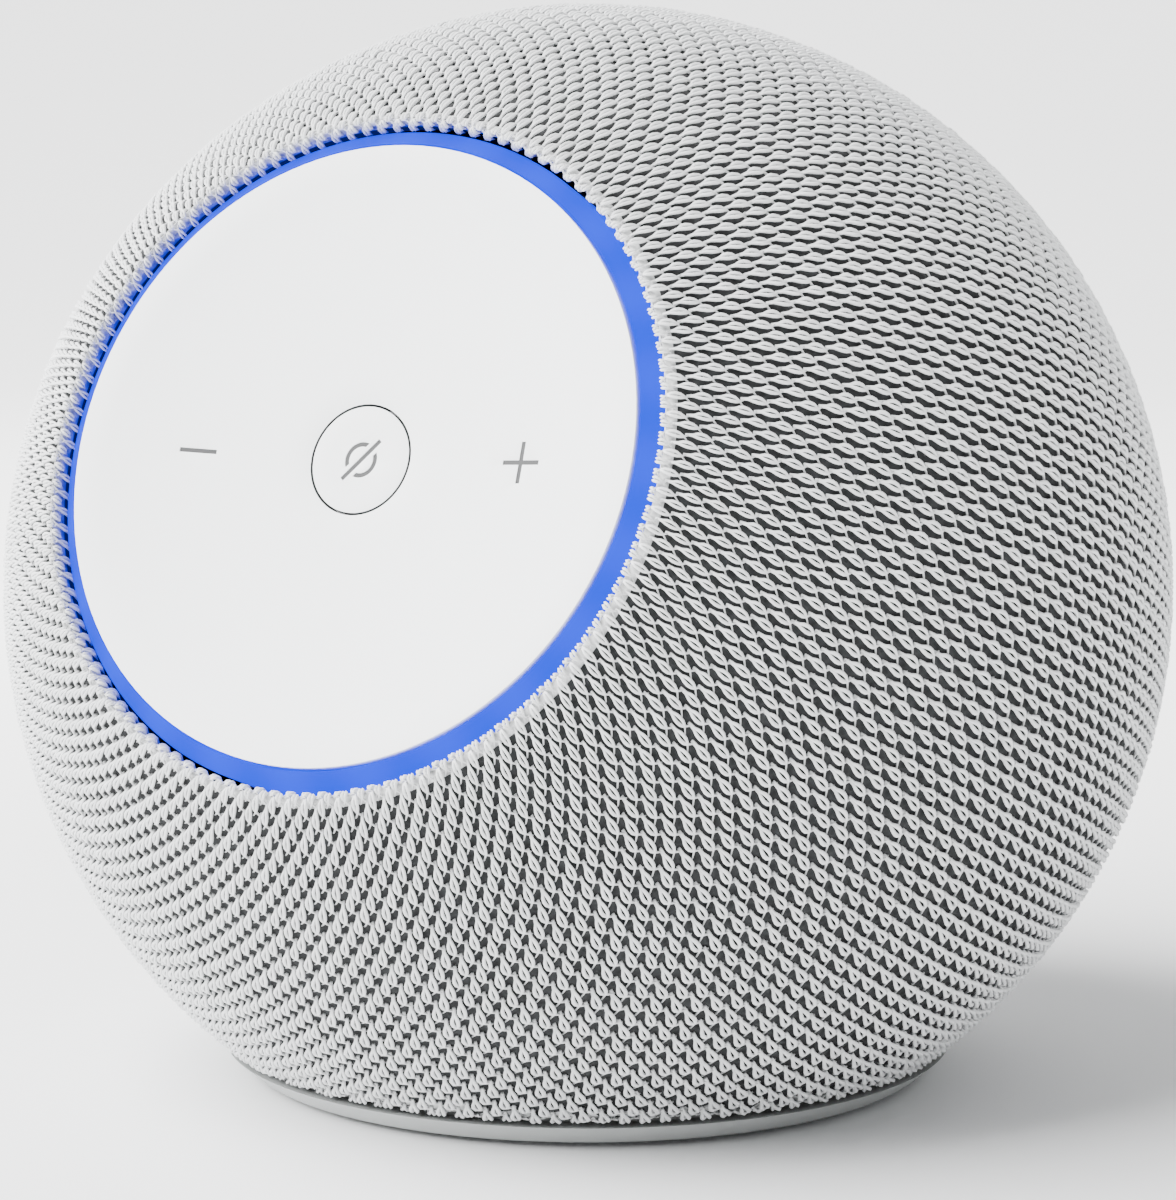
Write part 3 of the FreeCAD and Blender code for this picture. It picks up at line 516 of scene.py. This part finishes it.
def over_face(node):
    """Greatest radius about the face's axis, and highest place along it."""
    places = np.array([face.inverted() @ v.co for v in frame["nodes"][node].data.vertices])
    return float(np.hypot(places[:, 0], places[:, 1]).max()), float(places[:, 2].max())


def only(piece):
    """Make a piece the one selected and active object."""
    bpy.ops.object.select_all(action="DESELECT")
    piece.select_set(True)
    bpy.context.view_layer.objects.active = piece


merge_reach = 0.000004
flat_angle = math.radians(0.5)
corner_angle = math.radians(35)


def refined(node, body, finish, edge):
    """Smooth copy of a CAD node, with its corners rounded by an edge radius."""
    piece = frame["nodes"][node].copy()
    piece.data = frame["nodes"][node].data.copy()
    piece.name = node + "_fine"
    piece.parent = None
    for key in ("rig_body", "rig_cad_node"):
        del piece[key]
    bpy.context.scene.collection.objects.link(piece)
    only(piece)
    bpy.ops.object.mode_set(mode="EDIT")
    bpy.ops.mesh.customdata_custom_splitnormals_clear()
    bpy.ops.mesh.select_all(action="SELECT")
    bpy.ops.mesh.remove_doubles(threshold=merge_reach)
    bpy.ops.mesh.dissolve_limited(angle_limit=flat_angle)
    bpy.ops.object.mode_set(mode="OBJECT")
    rounding = piece.modifiers.new("rounding", "BEVEL")
    rounding.width = edge
    rounding.segments = 3
    rounding.limit_method = "ANGLE"
    rounding.angle_limit = corner_angle
    rounding.use_clamp_overlap = True
    bpy.ops.object.modifier_apply(modifier="rounding")
    bpy.ops.object.shade_smooth_by_angle(angle=corner_angle)
    piece.data.materials.clear()
    piece.data.materials.append(finish)
    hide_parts(node)
    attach(piece, body)
    return piece


plate_colour = (0.84, 0.855, 0.86)
satin = grained(plate_colour, 0.38, 0.00025, 0.0000015, 0.006)
plate_finish = material("face_plastic", plate_colour, 0.38, satin)
plate = refined("face_plate", "face_plate", plate_finish, 0.00012)

mark_colour = (0.014, 0.015, 0.016)
mark_finish = material("mark_grey", mark_colour, 0.5, grained(mark_colour, 0.5, 0.0002, 0.000002, 0.03))
plate_r, rim_at = over_face("face_plate")
dish_depth = 0.0029
dish_r = (plate_r ** 2 + dish_depth ** 2) / (2 * dish_depth)
mark_at = 0.01567
mark_length = 0.00348
mark_line = 0.00036
inlay_t = 0.00016
inlay_drop = 0.00012
inlay_edge = 0.00003


def set_in(piece, x, body, finish):
    """Lay an inlay into the dish at a distance to the right of its middle, and fix it there."""
    drop = dish_r - math.sqrt(dish_r ** 2 - x ** 2)
    tilt = Matrix.Rotation(-math.asin(x / dish_r), 4, "Y")
    height = rim_at - dish_depth + drop - inlay_drop
    piece.matrix_world = face @ Matrix.Translation((x, 0, height)) @ tilt
    only(piece)
    bpy.ops.object.transform_apply(location=True, rotation=True, scale=True)
    soft = piece.modifiers.new("soft", "BEVEL")
    soft.width = inlay_edge
    soft.segments = 2
    bpy.ops.object.modifier_apply(modifier="soft")
    piece.data.materials.append(finish)
    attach(piece, body)


def bar(name, arms):
    """Flat bar, or a cross of four arms, drawn out sideways from a square."""
    bpy.ops.object.select_all(action="DESELECT")
    bpy.ops.mesh.primitive_cube_add(size=1)
    piece = bpy.context.object
    piece.name = name
    piece.scale = (mark_line, mark_line, inlay_t)
    bpy.ops.object.transform_apply(location=True, rotation=True, scale=True)
    for way in arms:
        way = Vector(way)
        bpy.ops.object.mode_set(mode="EDIT")
        bpy.ops.mesh.select_all(action="DESELECT")
        bpy.ops.object.mode_set(mode="OBJECT")
        for side in piece.data.polygons:
            if side.normal.dot(way) > 0.9:
                side.select = True
        bpy.ops.object.mode_set(mode="EDIT")
        bpy.ops.mesh.select_mode(type="FACE")
        arm = way * (mark_length - mark_line) / 2
        bpy.ops.mesh.extrude_region_move(TRANSFORM_OT_translate={"value": arm})
        bpy.ops.object.mode_set(mode="OBJECT")
    return piece


sideways = ((1, 0, 0), (-1, 0, 0))
upright = ((0, 1, 0), (0, -1, 0))
set_in(bar("minus_inlay", sideways), -mark_at, "face_plate", mark_finish)
set_in(bar("plus_inlay", sideways + upright), mark_at, "face_plate", mark_finish)

# ---- Mute button ---------------------------------------------------------------------
# A round cap in a hole at the middle of the plate, with a crossed-out ring on it. It snaps
# into the plate's guide and bears on its own switch; the walls of the gap round it carry painted shade.

button_finish = material("button_plastic", plate_colour, 0.38, satin)
cap = refined("mute_button", "mute_button", button_finish, 0.00008)
cap_r = 0.0046
gap_shade_w = 0.00035
gap_shade_colour = (0.05, 0.052, 0.055)
gap_shade_finish = material("painted_gap_shade", gap_shade_colour, 0.6, grained(gap_shade_colour, 0.6, 0.0002, 0.000001, 0.03))
# The upright walls round the gap between plate and cap are painted dark grey: painted shade in the gap, not
# a colour of the plastic.
for piece in (plate, cap):
    piece.data.materials.append(gap_shade_finish)
    for side in piece.data.polygons:
        spot = face.inverted() @ side.center
        upright_side = abs((face.to_3x3().inverted() @ side.normal).z) < 0.3
        if upright_side and abs(math.hypot(spot.x, spot.y) - cap_r) < gap_shade_w:
            side.material_index = 1
dress(button_finish, "minus_plunger", "plus_plunger", "mute_plunger")

sign_r = 0.00134
sign_gap = math.radians(24.2)
sign_turn = math.radians(48)
slash_length = 0.00458


def arc(turn):
    """Half of the broken ring: a small upright square spun part of the way round."""
    bpy.ops.object.select_all(action="DESELECT")
    bpy.ops.mesh.primitive_plane_add(size=1, rotation=(math.pi / 2, 0, 0))
    piece = bpy.context.object
    piece.scale = (mark_line, inlay_t, 1)
    bpy.ops.object.transform_apply(location=True, rotation=True, scale=True)
    bpy.ops.object.mode_set(mode="EDIT")
    bpy.ops.mesh.select_all(action="SELECT")
    bpy.ops.transform.translate(value=(sign_r, 0, 0))
    bpy.ops.mesh.spin(steps=20, angle=math.pi - 2 * sign_gap, center=(0, 0, 0), axis=(0, 0, 1))
    bpy.ops.mesh.select_all(action="SELECT")
    bpy.ops.mesh.remove_doubles(threshold=0.000001)
    bpy.ops.mesh.fill_holes(sides=4)
    bpy.ops.mesh.normals_make_consistent(inside=False)
    bpy.ops.object.mode_set(mode="OBJECT")
    piece.rotation_euler.z = turn
    bpy.ops.object.transform_apply(location=True, rotation=True, scale=True)
    return piece


first = arc(sign_turn - sign_gap)
second = arc(sign_turn - sign_gap + math.pi)
slash = bar("mute_inlay", sideways)
slash.scale.x = slash_length / mark_length
slash.rotation_euler.z = sign_turn
only(slash)
bpy.ops.object.transform_apply(location=True, rotation=True, scale=True)
first.select_set(True)
second.select_set(True)
bpy.ops.object.join()
set_in(slash, 0, "mute_button", mark_finish)

# ---- Cover: backing ------------------------------------------------------------------
# A knitted sock in two layers. Its dark inner layer lies on the housing, and turns pale
# where it rolls in by the light guide and the power inlet and tucks under at the base.

hem_drop = 0.0004
hem_z = cover_low.z - hem_drop
yarn_roll = 0.0006
inlet = next(m for m in frame["record"]["mounts"] if m["name"] == "power_inlet")
down = Vector((0, 0, -1))
hem_cos = (middle.z - hem_z - yarn_roll) / (ball_r - yarn_roll)
lip_r = 0.02943
inlet_r = 0.00855
openings = (
    (face_out, Vector(), lip_r),
    (down, Vector(), ball_r * math.sqrt(1 - hem_cos ** 2)),
    (Vector(inlet["axis"]), Vector((0, 0, inlet["pos_m"][2])) - middle, inlet_r),
)


def tucked(direction, lift):
    """Places on the cover: out along each direction from the middle of the ball, raised by
    lift, and rolled inwards past the edge of each opening."""
    place = direction * (ball_r + lift)[:, None]
    past = np.zeros(len(direction))
    for axis, foot, rim in openings:
        axis, foot = np.array(axis), np.array(foot)
        spread = direction * ball_r - foot
        along = spread @ axis
        spread = spread - along[:, None] * axis
        reach = np.linalg.norm(spread, axis=1)
        inside = (reach < rim) & (along > 0)
        out = spread[inside] / np.maximum(reach[inside], 1e-9)[:, None]
        edge = foot + out * rim
        half = edge @ axis
        edge = edge + axis * (np.sqrt(half ** 2 - (edge ** 2).sum(1) + ball_r ** 2) - half)[:, None]
        normal = edge / ball_r
        gone = ball_r * np.arccos(np.clip((direction[inside] * normal).sum(1), -1, 1))
        lean = (normal * out).sum(1)
        inward = normal * lean[:, None] - out
        inward /= np.linalg.norm(inward, axis=1)[:, None]
        most = np.arccos(np.clip(-lean, -1, 1))
        turn = np.minimum(gone / yarn_roll, most)
        straight = np.maximum(gone - yarn_roll * most, 0)
        facing = normal * np.cos(turn)[:, None] + inward * np.sin(turn)[:, None]
        thick = np.maximum(yarn_roll + lift[inside], 0.00002)
        place[inside] = edge - yarn_roll * normal + thick[:, None] * facing - axis * straight[:, None]
        past[inside] = np.maximum(past[inside], gone)
    return place + np.array(middle), past


backing_depth = 0.00080
backing_t = 0.0003
tuck_depth = 0.0034
bpy.ops.object.select_all(action="DESELECT")
bpy.ops.mesh.primitive_uv_sphere_add(segments=192, ring_count=128, radius=1)
backing = bpy.context.object
backing.name = "cover_backing"
backing.rotation_euler = face.to_euler()
bpy.ops.object.transform_apply(location=True, rotation=True, scale=True)
count = len(backing.data.vertices)
raw = np.zeros(count * 3)
backing.data.vertices.foreach_get("co", raw)
raw = raw.reshape(-1, 3)
places, past = tucked(raw / np.linalg.norm(raw, axis=1)[:, None], np.full(count, -backing_depth))
backing.data.vertices.foreach_set("co", places.ravel())
deep = past > tuck_depth
bpy.ops.object.mode_set(mode="EDIT")
bpy.ops.mesh.select_mode(type="VERT")
bpy.ops.mesh.select_all(action="DESELECT")
bpy.ops.object.mode_set(mode="OBJECT")
backing.data.vertices.foreach_set("select", deep)
bpy.ops.object.mode_set(mode="EDIT")
bpy.ops.mesh.delete(type="VERT")
bpy.ops.mesh.select_all(action="SELECT")
bpy.ops.mesh.normals_make_consistent(inside=False)
bpy.ops.object.mode_set(mode="OBJECT")
layer = backing.modifiers.new("layer", "SOLIDIFY")
layer.thickness = backing_t
layer.offset = -1
bpy.ops.object.modifier_apply(modifier="layer")
bpy.ops.object.shade_smooth()

backing_colour = (0.028, 0.029, 0.030)
backing.data.materials.append(material("knit_backing", backing_colour, 0.95,
                                       celled(backing_colour, 0.0007, 0.0002)))
edge_colour = (0.62, 0.63, 0.635)
backing.data.materials.append(material("knit_edge", edge_colour, 0.95,
                                       celled(edge_colour, 0.0007, 0.0002)))
for patch in backing.data.polygons:
    spot = patch.center - middle
    for axis, foot, rim in openings:
        along = (spot - foot).dot(axis)
        if along > 0 and (spot - foot - along * axis).length < rim:
            patch.material_index = 1
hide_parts("fabric_cover")
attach(backing, "housing")

# ---- Cover: stitches -----------------------------------------------------------------
# The outer layer stands proud in long open stitches, each of two strands of white yarn
# that part round a slit, cross, and slip under the next. Neighbouring rows are half a
# stitch apart, and the rows run out from the face and are gathered at the power inlet.

wale = 0.00120
course = 0.00220
stitch_lean = 0.20
yarn_depth = 0.00024
# across, along, height and yarn radius at each station, in millimetres
strand_stations = (
    (0.05, -1.28, -0.46, 0.12),
    (0.07, -0.74, -0.18, 0.14),
    (0.22, -0.39, 0.00, 0.18),
    (0.28, 0.00, 0.04, 0.19),
    (0.22, 0.39, 0.00, 0.18),
    (0.06, 0.72, -0.14, 0.15),
    (-0.56, 1.28, -0.42, 0.12),
)


def strand(side):
    """One strand of a stitch: a five-cornered end, drawn out from station to station."""
    stations = [(Vector((side * x, y, z)), r) for x, y, z, r in strand_stations]
    place, radius = stations[0]
    bpy.ops.object.select_all(action="DESELECT")
    bpy.ops.mesh.primitive_circle_add(vertices=5, radius=radius, fill_type="NGON", location=place,
                                      rotation=(math.pi / 2, 0, 0))
    piece = bpy.context.object
    bpy.ops.object.transform_apply(location=True, rotation=True, scale=True)
    bpy.ops.object.mode_set(mode="EDIT")
    bpy.ops.mesh.select_all(action="SELECT")
    for after, wide in stations[1:]:
        bpy.ops.mesh.extrude_region_move(TRANSFORM_OT_translate={"value": after - place})
        bpy.ops.transform.resize(value=(wide / radius,) * 3, center_override=after)
        place, radius = after, wide
    bpy.ops.mesh.select_all(action="SELECT")
    bpy.ops.mesh.normals_make_consistent(inside=False)
    bpy.ops.object.mode_set(mode="OBJECT")
    return piece


left, right = strand(-1), strand(1)
only(left)
right.select_set(True)
bpy.ops.object.join()
stitch = bpy.context.object
shape = np.array([v.co for v in stitch.data.vertices]) / 1000
corners = [tuple(p.vertices) for p in stitch.data.polygons]
bpy.data.objects.remove(stitch)

pairs_round = 120
row_count = 2 * pairs_round
lip_angle = math.asin(lip_r / ball_r)
turning = np.array(face.to_3x3())
inlet_way = Vector(inlet["axis"]) * math.sqrt(ball_r ** 2 - (inlet["pos_m"][2] - middle.z) ** 2)
inlet_way += Vector((0, 0, inlet["pos_m"][2] - middle.z))
gather = math.pi - face_out.angle(inlet_way)
gather_from = math.radians(100)


def over_ball(angle, turn):
    """Direction at an angle from the face's axis and a turn round it; behind the ball the
    circles drift until they are centred on the inlet."""
    flat = np.stack([np.sin(angle) * np.cos(turn), np.sin(angle) * np.sin(turn), np.cos(angle)], 1)
    flat = flat @ turning.T
    drift = np.clip((angle - gather_from) / (math.pi - gather_from), 0, 1)
    drift = gather * drift * drift * (3 - 2 * drift)
    c, s = np.cos(drift), np.sin(drift)
    return np.stack([flat[:, 0], c * flat[:, 1] - s * flat[:, 2], s * flat[:, 1] + c * flat[:, 2]], 1)


# Stitches are taken off twice behind the ball, where the rows would crowd
halved_from = math.radians(147)
quartered_from = math.radians(163.6)
bands = (
    (0.0, halved_from, row_count),
    (halved_from, quartered_from, row_count // 2),
    (quartered_from, math.pi, row_count // 4),
)
first_course = -0.0004
turned_in = 0.0031
dice = np.random.default_rng(11)
centres = []
for low, high, rows in bands:
    for row in range(rows):
        along = first_course + course * 0.5 * (row % 2) - course
        while along / ball_r + lip_angle < high:
            if along / ball_r + lip_angle >= low or low == 0:
                centres.append((along, 2 * math.pi * row / rows, rows))
            along += course
centres = np.array(centres)
_, past = tucked(over_ball(centres[:, 0] / ball_r + lip_angle, centres[:, 1]), np.zeros(len(centres)))
centres = centres[past < turned_in]
centres = centres[np.argsort(centres[:, 1], kind="stable")]

yarn_colour = (0.80, 0.81, 0.815)
fibre_depth = 0.00006


def yarn(tree, place):
    """Matte spun yarn: fine fibres, and strands that differ a little."""
    fibres = tree.node("ShaderNodeTexNoise", None, {"Vector": place, "Scale": 9000.0, "Detail": 2.0})
    cloud = tree.node("ShaderNodeTexNoise", None, {"Vector": place, "Scale": 500.0, "Detail": 1.0})
    return {
        "Base Color": cloud.limit(0.3, 0.7).mixed(scaled(yarn_colour, 0.93), scaled(yarn_colour, 1.04)),
        "Normal": fibres.raised(0.5, fibre_depth),
    }


yarn_finish = material("knit", yarn_colour, 0.9, yarn, Sheen_Weight=0.25, Sheen_Roughness=0.5)

panel_count = 10
lift_spread = 0.00003
skew_spread = 0.03
for number in range(panel_count):
    some = centres[number * len(centres) // panel_count:(number + 1) * len(centres) // panel_count]
    lift = dice.normal(0, lift_spread, len(some))
    skew = dice.normal(0, skew_spread, len(some))
    x, y, z = shape[:, 0], shape[:, 1], shape[:, 2]
    across = x[None] + (stitch_lean + skew[:, None]) * y[None]
    angle = (some[:, :1] + y[None]) / ball_r + lip_angle
    turn = some[:, 1:2] - across / wale * (2 * math.pi / some[:, 2:3])
    height = z[None] - yarn_depth + lift[:, None]
    places, _ = tucked(over_ball(angle.ravel(), turn.ravel()), height.ravel())
    mesh = bpy.data.meshes.new("knit_%d" % (number + 1))
    size_of = len(shape)
    faces = [tuple(i + size_of * k for i in f) for k in range(len(some)) for f in corners]
    mesh.from_pydata(places, [], faces)
    mesh.shade_smooth()
    panel = bpy.data.objects.new(mesh.name, mesh)
    bpy.context.scene.collection.objects.link(panel)
    mesh.materials.append(yarn_finish)
    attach(panel, "housing")
